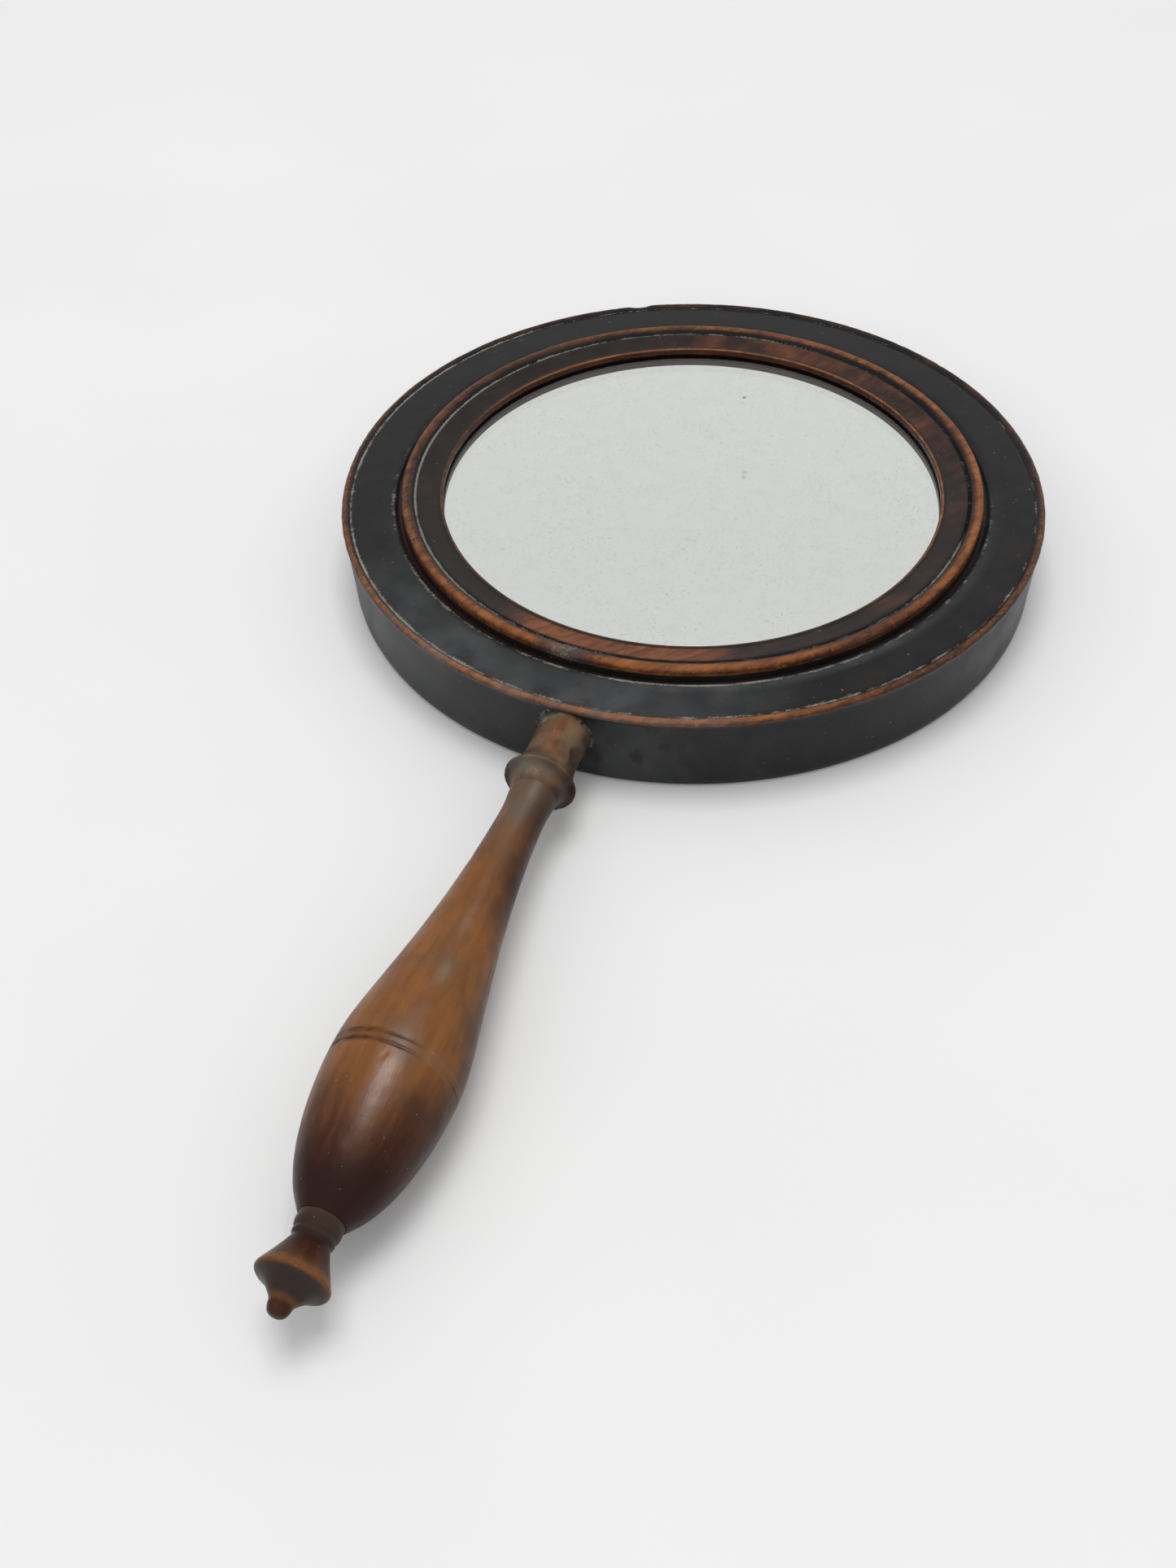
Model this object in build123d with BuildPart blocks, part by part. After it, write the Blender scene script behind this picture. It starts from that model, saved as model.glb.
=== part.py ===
"""Turned wooden hand mirror.

Millimetres. The origin is the centre of the head's flat back, +Z points out of the mirror,
and the handle runs along -Y. The mirror lies on its back on the plane Z = 0.
"""

from build123d import *
import os

os.makedirs("parts", exist_ok=True)

# ---------------------------------------------------------------- driving dimensions

# head: one turned disc of wood
head_radius = 80.0  # crest of the worn outer bead
head_height = 19.2  # back face to the crest of the outer bead
bead_radius = 1.0  # rounding of the outer bead
bead_inset = 2.1  # outer edge to the scored line inside the bead
flange_drop = 0.5  # flange below the crest of the bead
back_edge_radius = 78.7  # the side wall tapers in towards the back
back_rounding = 1.2
back_line_radii = (62.0, 64.0)  # two fine lines scored round the back
score_depth = 0.3
score_half_width = 0.25
bead_overhang = 0.4  # the bead stands out this far past the side wall

# recess for the glass, and the ring that holds it in
recess_radius = 66.3
recess_floor = 13.0
glue_gap = 0.05
ring_crest_radius = 65.2
ring_crest_height = 21.0
ring_corner = 0.9  # height of the bead's rounded outer corner
ring_quirk_radius = 63.0
ring_quirk_depth = 1.3  # below the crest of the bead
ring_step = 0.95  # crest of the bead to the top of the inner slope
sight_radius = 56.8
sight_edge_height = 19.3
sight_lip_width = 0.9
sight_lip_drop = 0.2
rabbet_gap = 0.4  # round the glass, inside the ring's skirt
dust_groove_radius = 67.6
dust_groove_depth = 0.35
dust_groove_slope = 0.6

# glass pack, from the recess floor up
glass_radius = 61.0
felt_thickness = 1.4
card_thickness = 1.1
paint_thickness = 0.1
silver_thickness = 0.1
glass_thickness = 2.2
glass_edge_chamfer = 0.3

# handle: its axis lies a little off the head's centre line, as the mortise was bored
axis_offset = -3.1
axis_height = 12.0
neck_radius = 5.65
neck_waist_station = 87.5
neck_waist_radius = 5.4
lip_radius = 7.5
lip_station = 94.6
grip_start = 98.4
grip_top_radius = 4.9
grip_waist_station = 104.0
grip_waist_radius = 4.5
belly_station = 167.5
belly_radius = 11.95
belly_half_length = 31.4  # of the ellipse that the lower belly follows
grip_end = 197.0
grip_end_radius = 4.3
finial_bead_radius = 4.1
finial_neck_radius = 3.45
finial_rim_station = 207.9
finial_rim_radius = 6.5
tip_station = 214.3
nub_radius = 1.95
line_stations = (167.3, 169.2)  # the two scored lines round the belly
line_depth = 0.25
line_half_width = 0.35

# glue and filler round the neck
filler_width = 1.0
filler_reach = 1.2
filler_depth = 0.55  # behind the side wall's lower edge

# joints hidden inside
mortise_floor = 74.0
dowel_radius = 2.5
dowel_start = 68.0
dowel_end = 118.0
dowel_chamfer = 0.5
spigot_radius = 2.2
spigot_start = 186.0
end_gap = 0.4

# ---------------------------------------------------------------- handle frame

# local x runs along the handle away from the head's centre, local y is up
handle_plane = Plane(origin=(axis_offset, 0, axis_height), x_dir=(0, -1, 0), z_dir=(-1, 0, 0))
handle_axis = Axis((axis_offset, 0, axis_height), (0, -1, 0))


def station(distance):
    """The plane across the handle at a distance from the head's centre, facing the tip."""
    return Plane(origin=(axis_offset, -distance, axis_height), x_dir=(1, 0, 0), z_dir=(0, -1, 0))


# ---------------------------------------------------------------- head

flange_height = head_height - flange_drop
wall_top_radius = head_radius - bead_overhang
wall_top_height = head_height - 2 * bead_radius
crest_radius = head_radius - bead_radius
score_radius = head_radius - bead_inset

with BuildPart() as head_frame:
    with BuildSketch(Plane.XZ):
        with BuildLine():
            Polyline((0, recess_floor), (0, 0), (back_edge_radius - back_rounding, 0))
            RadiusArc(
                (back_edge_radius - back_rounding, 0),
                (back_edge_radius, back_rounding),
                -back_rounding,
            )
            Line((back_edge_radius, back_rounding), (wall_top_radius, wall_top_height))
            Spline(
                (wall_top_radius, wall_top_height),
                (head_radius, head_height - bead_radius),
                tangents=((0, 1), (0, 1)),
            )
            RadiusArc(
                (head_radius, head_height - bead_radius),
                (crest_radius, head_height),
                -bead_radius,
            )
            Spline(
                (crest_radius, head_height),
                (score_radius + score_half_width, flange_height),
                tangents=((-1, 0), (-0.5, -1)),
            )
            Polyline(
                (score_radius + score_half_width, flange_height),
                (score_radius, flange_height - score_depth),
                (score_radius - score_half_width, flange_height),
                (dust_groove_radius + dust_groove_slope, flange_height),
            )
            ThreePointArc(
                (dust_groove_radius + dust_groove_slope, flange_height),
                (dust_groove_radius, flange_height - dust_groove_depth),
                (recess_radius, flange_height - dust_groove_depth),
            )
            Polyline(
                (recess_radius, flange_height - dust_groove_depth),
                (recess_radius, recess_floor),
                (0, recess_floor),
            )
        make_face()
    revolve(axis=Axis.Z)
    # mortise for the neck, then the narrower hole for the dowel
    with BuildSketch(station(mortise_floor)):
        Circle(neck_radius + glue_gap)
    extrude(amount=head_radius - mortise_floor, mode=Mode.SUBTRACT)
    with BuildSketch(station(dowel_start - end_gap)):
        Circle(dowel_radius + glue_gap)
    extrude(amount=head_radius - dowel_start, mode=Mode.SUBTRACT)
    # two lines scored on the back
    with BuildSketch(Plane.XZ):
        for radius in back_line_radii:
            with Locations((radius, 0)):
                Circle(score_depth)
    revolve(axis=Axis.Z, mode=Mode.SUBTRACT)
head_frame.part.label = "head_frame"
export_step(head_frame.part, "parts/head_frame.step")

# ---------------------------------------------------------------- glass pack


def disc(name, low, thickness, radius):
    """One flat round layer of the glass pack, its label the node's name."""
    with BuildPart() as layer:
        with BuildSketch(Plane.XY.offset(low)):
            Circle(radius)
        extrude(amount=thickness)
    layer.part.label = name
    export_step(layer.part, f"parts/{name}.step")
    return low + thickness


felt_top = disc("felt_pad", recess_floor, felt_thickness, glass_radius)
card_top = disc("card_backing", felt_top, card_thickness, glass_radius)
paint_top = disc("backing_paint", card_top, paint_thickness, glass_radius)
silver_top = disc("silvering", paint_top, silver_thickness, glass_radius)

with BuildPart() as mirror_glass:
    with BuildSketch(Plane.XY.offset(silver_top)):
        Circle(glass_radius)
    extrude(amount=glass_thickness)
    chamfer(mirror_glass.edges().group_by(Axis.Z)[-1], length=glass_edge_chamfer)
mirror_glass.part.label = "mirror_glass"
export_step(mirror_glass.part, "parts/mirror_glass.step")
glass_top = silver_top + glass_thickness

# ---------------------------------------------------------------- ring that holds the glass

ring_outer_radius = recess_radius - glue_gap
slope_middle = 0.5 * (ring_quirk_radius + sight_radius) + 0.3
slope_crown = 0.3
skirt_inner_radius = glass_radius + rabbet_gap
ring_shoulder_height = ring_crest_height - ring_corner

with BuildPart() as bezel_ring:
    with BuildSketch(Plane.XZ):
        with BuildLine():
            Polyline(
                (sight_radius, sight_edge_height - sight_lip_drop),
                (sight_radius, glass_top),
                (skirt_inner_radius, glass_top),
                (skirt_inner_radius, recess_floor + end_gap),
                (ring_outer_radius, recess_floor + end_gap),
                (ring_outer_radius, ring_shoulder_height),
            )
            ThreePointArc(
                (ring_outer_radius, ring_shoulder_height),
                (ring_crest_radius + 0.45, ring_crest_height - 0.15),
                (ring_crest_radius - 0.3, ring_crest_height),
            )
            ThreePointArc(
                (ring_crest_radius - 0.3, ring_crest_height),
                (ring_quirk_radius + 0.8, ring_crest_height - 0.35),
                (ring_quirk_radius + 0.2, ring_crest_height - 1.15),
            )
            Polyline(
                (ring_quirk_radius + 0.2, ring_crest_height - 1.15),
                (ring_quirk_radius, ring_crest_height - ring_quirk_depth),
                (ring_quirk_radius - 0.3, ring_crest_height - ring_step),
            )
            Spline(
                (ring_quirk_radius - 0.3, ring_crest_height - ring_step),
                (slope_middle, sight_edge_height + slope_crown),
                (sight_radius + sight_lip_width, sight_edge_height - 0.05),
            )
            Spline(
                (sight_radius + sight_lip_width, sight_edge_height - 0.05),
                (sight_radius + 0.35, sight_edge_height + 0.05),
                (sight_radius, sight_edge_height - sight_lip_drop),
            )
        make_face()
    revolve(axis=Axis.Z)
bezel_ring.part.label = "bezel_ring"
export_step(bezel_ring.part, "parts/bezel_ring.step")

# ---------------------------------------------------------------- neck with its collar

with BuildPart() as neck_collar:
    with BuildSketch(handle_plane):
        with BuildLine():
            Polyline(
                (grip_start, dowel_radius + glue_gap),
                (mortise_floor, dowel_radius + glue_gap),
                (mortise_floor, neck_radius),
                (back_edge_radius, neck_radius),
            )
            Spline(
                (back_edge_radius, neck_radius),
                (neck_waist_station, neck_waist_radius),
                (lip_station - 1.2, lip_radius - 0.8),
                (lip_station - 0.3, lip_radius - 0.08),
                tangents=((1, 0), (1, 0.6)),
            )
            ThreePointArc(
                (lip_station - 0.3, lip_radius - 0.08),
                (lip_station, lip_radius),
                (lip_station + 0.25, lip_radius - 0.15),
            )
            Spline(
                (lip_station + 0.25, lip_radius - 0.15),
                (lip_station + 0.9, lip_radius - 1.3),
                (grip_start, grip_top_radius),
                tangents=((0.3, -1), (1, -0.3)),
            )
            Line((grip_start, grip_top_radius), (grip_start, dowel_radius + glue_gap))
        make_face()
    revolve(axis=handle_axis)
neck_collar.part.label = "neck_collar"
export_step(neck_collar.part, "parts/neck_collar.step")

# hardened glue and filler round the neck, where it enters the side of the head
filler_start = back_edge_radius - filler_depth

with BuildPart() as joint_filler:
    with BuildSketch(handle_plane):
        with BuildLine():
            Polyline(
                (filler_start, neck_radius + glue_gap),
                (filler_start, neck_radius + filler_width),
                (wall_top_radius, neck_radius + filler_width),
            )
            ThreePointArc(
                (wall_top_radius, neck_radius + filler_width),
                (wall_top_radius + 0.35 * filler_reach, neck_radius + 0.4 * filler_width),
                (wall_top_radius + filler_reach, neck_radius + glue_gap),
            )
            Line(
                (wall_top_radius + filler_reach, neck_radius + glue_gap),
                (filler_start, neck_radius + glue_gap),
            )
        make_face()
    revolve(axis=handle_axis)
    add(head_frame.part, mode=Mode.SUBTRACT)
joint_filler.part.label = "joint_filler"
export_step(joint_filler.part, "parts/joint_filler.step")

# ---------------------------------------------------------------- dowel through the neck

with BuildPart() as neck_dowel:
    with BuildSketch(station(dowel_start)):
        Circle(dowel_radius)
    extrude(amount=dowel_end - dowel_start)
    chamfer(neck_dowel.edges().filter_by(GeomType.CIRCLE), length=dowel_chamfer)
neck_dowel.part.label = "neck_dowel"
export_step(neck_dowel.part, "parts/neck_dowel.step")

# ---------------------------------------------------------------- grip

def belly_ellipse(distance):
    """Radius of the lower belly at a distance from the head's centre."""
    share = (distance - belly_station) / belly_half_length
    return belly_radius * (1 - share**2) ** 0.5


lower_stations = (177.0, 185.0, 191.0, 195.0)

with BuildPart() as handle_grip:
    with BuildSketch(handle_plane):
        with BuildLine():
            Polyline(
                (grip_end, 0),
                (dowel_end + end_gap, 0),
                (dowel_end + end_gap, dowel_radius + glue_gap),
                (grip_start, dowel_radius + glue_gap),
                (grip_start, grip_top_radius),
            )
            Spline(
                (grip_start, grip_top_radius),
                (grip_waist_station, grip_waist_radius),
                (120.4, 5.5),
                (136.5, 7.4),
                (151.0, 9.8),
                (160.0, 11.35),
                (belly_station, belly_radius),
                tangents=((1, -0.2), (1, 0)),
            )
            Spline(
                (belly_station, belly_radius),
                *[(s, belly_ellipse(s)) for s in lower_stations],
                (grip_end, grip_end_radius),
                tangents=((1, 0), (0.35, -1)),
            )
            Line((grip_end, grip_end_radius), (grip_end, 0))
        make_face()
    revolve(axis=handle_axis)
    # the two scored lines round the belly
    with BuildSketch(handle_plane):
        for s in line_stations:
            with Locations((s, belly_radius)):
                Rectangle(2 * line_half_width, 2 * line_depth)
    revolve(axis=handle_axis, mode=Mode.SUBTRACT)
    # socket for the finial's spigot
    with BuildSketch(station(spigot_start - end_gap)):
        Circle(spigot_radius + glue_gap)
    extrude(amount=grip_end - spigot_start + end_gap, mode=Mode.SUBTRACT)
handle_grip.part.label = "handle_grip"
export_step(handle_grip.part, "parts/handle_grip.step")

# ---------------------------------------------------------------- finial

with BuildPart() as finial:
    with BuildSketch(handle_plane):
        with BuildLine():
            Polyline(
                (tip_station, 0),
                (spigot_start, 0),
                (spigot_start, spigot_radius),
                (grip_end, spigot_radius),
                (grip_end, finial_bead_radius - 0.35),
            )
            # a full bead, a slack one, then the cone
            ThreePointArc(
                (grip_end, finial_bead_radius - 0.35),
                (grip_end + 1.3, finial_bead_radius),
                (grip_end + 2.6, finial_bead_radius - 0.45),
            )
            ThreePointArc(
                (grip_end + 2.6, finial_bead_radius - 0.45),
                (grip_end + 3.4, finial_bead_radius - 0.35),
                (grip_end + 4.2, finial_neck_radius),
            )
            Spline(
                (grip_end + 4.2, finial_neck_radius),
                (finial_rim_station - 3.6, finial_rim_radius - 1.75),
                (finial_rim_station - 0.9, finial_rim_radius - 0.35),
                tangents=((1, 0.2), (1, 0.7)),
            )
            Spline(
                (finial_rim_station - 0.9, finial_rim_radius - 0.35),
                (finial_rim_station, finial_rim_radius),
                (finial_rim_station + 0.6, finial_rim_radius - 0.5),
                tangents=((1, 0.7), (0.5, -1)),
            )
            Spline(
                (finial_rim_station + 0.6, finial_rim_radius - 0.5),
                (finial_rim_station + 2.0, finial_rim_radius - 2.7),
                (finial_rim_station + 3.9, nub_radius + 0.25),
                (tip_station - 1.3, nub_radius),
                tangents=((0.5, -1), (1, 0)),
            )
            Spline(
                (tip_station - 1.3, nub_radius),
                (tip_station, 0),
                tangents=((1, 0), (0, -1)),
            )
        make_face()
    revolve(axis=handle_axis)
finial.part.label = "finial"
export_step(finial.part, "parts/finial.step")
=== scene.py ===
"""The looks of a worn, turned wooden hand mirror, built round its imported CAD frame."""

import math

import bmesh
import bpy
import numpy as np
from mathutils import Matrix, Vector


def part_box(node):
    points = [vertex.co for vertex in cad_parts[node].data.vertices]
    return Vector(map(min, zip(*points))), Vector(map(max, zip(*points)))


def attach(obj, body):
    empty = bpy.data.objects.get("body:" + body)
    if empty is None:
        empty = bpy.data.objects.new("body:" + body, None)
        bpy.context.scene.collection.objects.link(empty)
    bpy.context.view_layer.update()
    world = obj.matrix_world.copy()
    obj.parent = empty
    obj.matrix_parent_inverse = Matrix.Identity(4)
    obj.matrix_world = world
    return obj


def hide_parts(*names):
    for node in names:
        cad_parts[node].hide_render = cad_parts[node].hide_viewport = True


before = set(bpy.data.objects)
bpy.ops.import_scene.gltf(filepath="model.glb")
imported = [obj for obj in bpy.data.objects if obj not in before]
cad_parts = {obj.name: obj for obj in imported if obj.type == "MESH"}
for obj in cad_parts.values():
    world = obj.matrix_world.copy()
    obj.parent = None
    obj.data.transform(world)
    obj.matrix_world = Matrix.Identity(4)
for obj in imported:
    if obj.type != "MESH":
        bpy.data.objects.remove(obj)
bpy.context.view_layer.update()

scene = bpy.context.scene
MM = 0.001

# ---------------------------------------------------------------- sizes, in millimetres


def node_box(node):
    """A node's lowest and highest corners."""
    low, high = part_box(node)
    return np.array(low) / MM, np.array(high) / MM


head_high = node_box("head_frame")[1]
ring_low, ring_high = node_box("bezel_ring")
glass_low, glass_high = node_box("mirror_glass")
silver_low, silver_high = node_box("silvering")
grip_low, grip_high = node_box("handle_grip")
filler_low, filler_high = node_box("joint_filler")
finial_low = node_box("finial")[0]

# The head, the ring and the glass: radii, and heights above the table.
HEAD_R = head_high[0]
HEAD_TOP = head_high[2]
BACK_R = HEAD_R - 1.3
BACK_LINES = (62.0, 64.0)
FLANGE = HEAD_TOP - 0.5
SCORE_R = HEAD_R - 2.15
RECESS_R = ring_high[0] + 0.05
RECESS_FLOOR = 13.0
RING_R = ring_high[0]
RING_TOP = ring_high[2]
RING_FOOT = ring_low[2]
QUIRK_R = RING_R - 3.25
SIGHT_R = 56.8
GLASS_R = glass_high[0]
GLASS_TOP = glass_high[2]
GLASS_FOOT = glass_low[2]
SILVER_R = 59.8
CENTRE_R = 0.4

# The handle: its axis, and places along it from the head's centre.
AXIS_X = (grip_low[0] + grip_high[0]) / 2
AXIS_Z = (grip_low[2] + grip_high[2]) / 2
BELLY_R = (grip_high[2] - grip_low[2]) / 2
BELLY_AT = 167.5
BELLY_HALF = 31.4
GRIP_START = -grip_high[1]
GRIP_END = -grip_low[1]
LINES_AT = (167.3, 169.2)
LIP_AT = 94.6
TIP = -finial_low[1]
RIM_AT = TIP - 6.4

# The head's grain in degrees from +X, and how many points go round each piece.
GRAIN_ANGLE = 50
HEAD_TURNS = 900
HANDLE_TURNS = 200
FINIAL_TURNS = 144
GLASS_TURNS = 360
SILVER_TURNS = 720
FILLER_TURNS = 160

# ---------------------------------------------------------------- numbers over a surface


def cell_value(ix, iy, iz, seed):
    """A repeatable number from 0 to 1 for each whole-number cell."""
    n = (ix * 374761393 + iy * 668265263 + iz * 1013904223 + seed * 144269504) & 0xFFFFFFFF
    n = ((n ^ (n >> 13)) * 1274126177) & 0xFFFFFFFF
    n = ((n ^ (n >> 16)) * 1103515245) & 0xFFFFFFFF
    return ((n ^ (n >> 15)) & 0xFFFFFF) / 0xFFFFFF


def noise(points, size, seed, layers=3):
    """Smooth layered noise, about -1 to 1, with cells of size (one number, or one per axis)."""
    total = 0
    for layer in range(layers):
        p = np.asarray(points) / np.asarray(size, float) * 2**layer
        cell = np.floor(p).astype(np.int64)
        part = p - cell
        part = part * part * (3 - 2 * part)
        for dx in (0, 1):
            for dy in (0, 1):
                for dz in (0, 1):
                    value = cell_value(cell[..., 0] + dx, cell[..., 1] + dy, cell[..., 2] + dz, seed + layer)
                    share = np.abs(1 - dx - part[..., 0]) * np.abs(1 - dy - part[..., 1])
                    total = total + (2 * value - 1) * share * np.abs(1 - dz - part[..., 2]) / 2**layer
    return total / 1.3


def step(value, start, end):
    """A smooth rise from 0 at start to 1 at end, or a fall where end is the smaller."""
    t = np.clip((value - start) / (end - start), 0, 1)
    return t * t * (3 - 2 * t)


def hump(value, centre, width):
    """1 at centre, falling smoothly to 0 a width away."""
    return 1 - step(np.abs(value - centre), 0, width)


def round_hump(angle, centre, width):
    """The same round a circle, in degrees."""
    return 1 - step(np.abs((angle - centre + 180) % 360 - 180), 0, width)


def around(angle, stops):
    """Values set at a few angles in degrees and joined round the circle."""
    return np.interp(angle, list(stops), list(stops.values()), period=360)


# ---------------------------------------------------------------- turned shapes


def smooth_rows(outline, pitch):
    """Rows along a smooth outline of (along, radius) points, pitch(along, radius) apart.

    The outline turns sharply at a point that has "sharp" as its third value.
    """
    runs, run = [], []
    for point in outline:
        run.append(np.array(point[:2], float))
        if len(point) == 3 and len(run) > 1:
            runs.append(run)
            run = [run[-1]]
    if len(run) > 1:
        runs.append(run)
    rows = [runs[0][0]]
    for run in runs:
        ends = [2 * run[0] - run[1], *run, 2 * run[-1] - run[-2]]
        for a, b, c, d in zip(ends, ends[1:], ends[2:], ends[3:]):
            ta = -np.linalg.norm(b - a) ** 0.5
            tc = np.linalg.norm(c - b) ** 0.5
            td = tc + np.linalg.norm(d - c) ** 0.5
            count = max(1, round(np.linalg.norm(c - b) / pitch(*((b + c) / 2))))
            for t in np.linspace(0, tc, count + 1)[1:]:
                ab = (-t * a + (t - ta) * b) / -ta
                bc = ((tc - t) * b + t * c) / tc
                cd = ((td - t) * c + (t - tc) * d) / (td - tc)
                before = ((tc - t) * ab + (t - ta) * bc) / (tc - ta)
                after = ((td - t) * bc + t * cd) / td
                rows.append(((tc - t) * before + t * after) / tc)
    return np.array(rows)


def even(distance):
    """A pitch that is the same all along an outline."""
    return lambda along, radius: distance


class Turning:
    """Rows turned about the head's upright axis, or about the handle's.

    Angles start from +X. Round the head 90 is the far side and 270 the handle's; round the
    handle 90 is the top.
    """

    def __init__(self, rows, turns, handle=False):
        turn = np.linspace(0, 2 * math.pi, turns, endpoint=False)[None, :]
        flat = 0 * turn
        slope = np.gradient(rows, axis=0)
        slope = slope / np.maximum(np.linalg.norm(slope, axis=1), 1e-9)[:, None]
        self.angle = np.degrees(turn) + 0 * rows[:, :1]
        self.along = rows[:, :1] + flat
        self.radius = rows[:, 1:] + flat
        self.out_along = -slope[:, 1:] + flat
        self.out_radius = slope[:, :1] + flat
        self.handle = handle

    def points(self, sink=0):
        """The grid of points, moved in from the surface by sink."""
        along = self.along - sink * self.out_along
        radius = self.radius - sink * self.out_radius
        across = radius * np.cos(np.radians(self.angle))
        up = radius * np.sin(np.radians(self.angle))
        if self.handle:
            return np.stack([AXIS_X + across, -along, AXIS_Z + up], -1)
        return np.stack([across, up, along], -1)


def make_piece(name, grid, material, nodes, masks=(), closed=False):
    """A piece from a turned grid of points.

    The last row of a closed outline joins its first; an open one gets a centre point at each end.
    """
    rows, turns, _ = grid.shape
    points = grid.reshape(-1, 3)
    faces = []
    for i in range(rows if closed else rows - 1):
        for j in range(turns):
            k, m = (i + 1) % rows * turns, (j + 1) % turns
            faces.append((i * turns + j, i * turns + m, k + m, k + j))
    if not closed:
        last = len(points) - turns
        points = np.vstack([points, points[:turns].mean(0), points[last:].mean(0)])
        for j in range(turns):
            m = (j + 1) % turns
            faces.append((len(points) - 2, m, j))
            faces.append((len(points) - 1, last + j, last + m))
    mesh = bpy.data.meshes.new(name)
    mesh.from_pydata((points * MM).tolist(), [], faces)
    shape = bmesh.new()
    shape.from_mesh(mesh)
    bmesh.ops.recalc_face_normals(shape, faces=shape.faces)
    shape.to_mesh(mesh)
    shape.free()
    mesh.shade_smooth()
    mesh.set_sharp_from_angle(angle=math.radians(40))
    for label, values in dict(masks).items():
        values = np.broadcast_to(values, (rows, turns)).reshape(-1)
        if not closed:
            values = np.append(values, [values[:turns].mean(), values[-turns:].mean()])
        layer = mesh.attributes.new(label, "FLOAT", "POINT")
        layer.data.foreach_set("value", np.clip(values, 0, 1.5).astype(np.float32))
    mesh.materials.append(material)
    piece = bpy.data.objects.new(name, mesh)
    scene.collection.objects.link(piece)
    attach(piece, "root")
    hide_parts(*nodes)
    return piece


# ---------------------------------------------------------------- materials


def srgb(red, green, blue):
    """A display colour, 0 to 255, as the linear one that a shader takes."""
    linear = [((v / 255 + 0.055) / 1.055) ** 2.4 if v > 10 else v / 3294.6 for v in (red, green, blue)]
    return (*linear, 1)


class Shader:
    """A node material on the object's own coordinates, in short calls."""

    def __init__(self, name, grain_angle=90):
        self.material = bpy.data.materials.new(name)
        self.material.use_nodes = True
        tree = self.material.node_tree
        self.nodes, self.links = tree.nodes, tree.links
        self.surface = self.nodes["Principled BSDF"]
        self.place = self.nodes.new("ShaderNodeTexCoord").outputs["Object"]
        turn = self.nodes.new("ShaderNodeVectorRotate")
        turn.rotation_type = "Z_AXIS"
        turn.inputs["Angle"].default_value = math.radians(90 - grain_angle)
        self.links.new(self.place, turn.inputs["Vector"])
        self.grain = turn.outputs[0]

    def put(self, value, socket):
        if isinstance(value, bpy.types.NodeSocket):
            self.links.new(value, socket)
        else:
            socket.default_value = value

    def set(self, **values):
        for name, value in values.items():
            self.put(value, self.surface.inputs[name.replace("_", " ")])

    def mask(self, name):
        node = self.nodes.new("ShaderNodeAttribute")
        node.attribute_name = name
        return node.outputs["Fac"]

    def math(self, kind, a, b=0.0):
        node = self.nodes.new("ShaderNodeMath")
        node.operation = kind
        self.put(a, node.inputs[0])
        self.put(b, node.inputs[1])
        return node.outputs[0]

    def noise(self, size, detail=3.0, rough=0.55, warp=0.0):
        """Noise with cells of a size in millimetres: one number, or (across, along, up)."""
        size = size if isinstance(size, tuple) else (size,) * 3
        scale = self.nodes.new("ShaderNodeVectorMath")
        scale.operation = "MULTIPLY"
        scale.inputs[1].default_value = [1 / (s * MM) for s in size]
        self.links.new(self.grain, scale.inputs[0])
        node = self.nodes.new("ShaderNodeTexNoise")
        self.links.new(scale.outputs[0], node.inputs["Vector"])
        node.inputs["Scale"].default_value = 1.0
        node.inputs["Detail"].default_value = detail
        node.inputs["Roughness"].default_value = rough
        node.inputs["Distortion"].default_value = warp
        return node.outputs["Fac"]

    def rise(self, value, start, end, low=0.0, high=1.0):
        node = self.nodes.new("ShaderNodeMapRange")
        node.interpolation_type = "SMOOTHSTEP"
        numbers = (value, start, end, low, high)
        for name, number in zip(("Value", "From Min", "From Max", "To Min", "To Max"), numbers):
            self.put(number, node.inputs[name])
        return node.outputs[0]

    def mix(self, factor, a, b):
        node = self.nodes.new("ShaderNodeMix")
        node.data_type = "RGBA"
        factor_socket, a_socket, b_socket = node.inputs[0], node.inputs[6], node.inputs[7]
        for value, socket in ((factor, factor_socket), (a, a_socket), (b, b_socket)):
            self.put(value, socket)
        return node.outputs[2]

    def ragged(self, mask, texture, amount, start, end, high=1.0):
        """A mask whose edge is broken up by a texture of about 0.5."""
        broken = self.math("MULTIPLY", self.math("SUBTRACT", texture, 0.5), amount)
        return self.rise(self.math("ADD", mask, broken), start, end, 0.0, high)

    def bump(self, height, distance, strength=1.0, under=None):
        node = self.nodes.new("ShaderNodeBump")
        node.inputs["Distance"].default_value = distance * MM
        node.inputs["Strength"].default_value = strength
        self.put(height, node.inputs["Height"])
        if under is not None:
            self.put(under, node.inputs["Normal"])
        return node.outputs[0]


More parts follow.
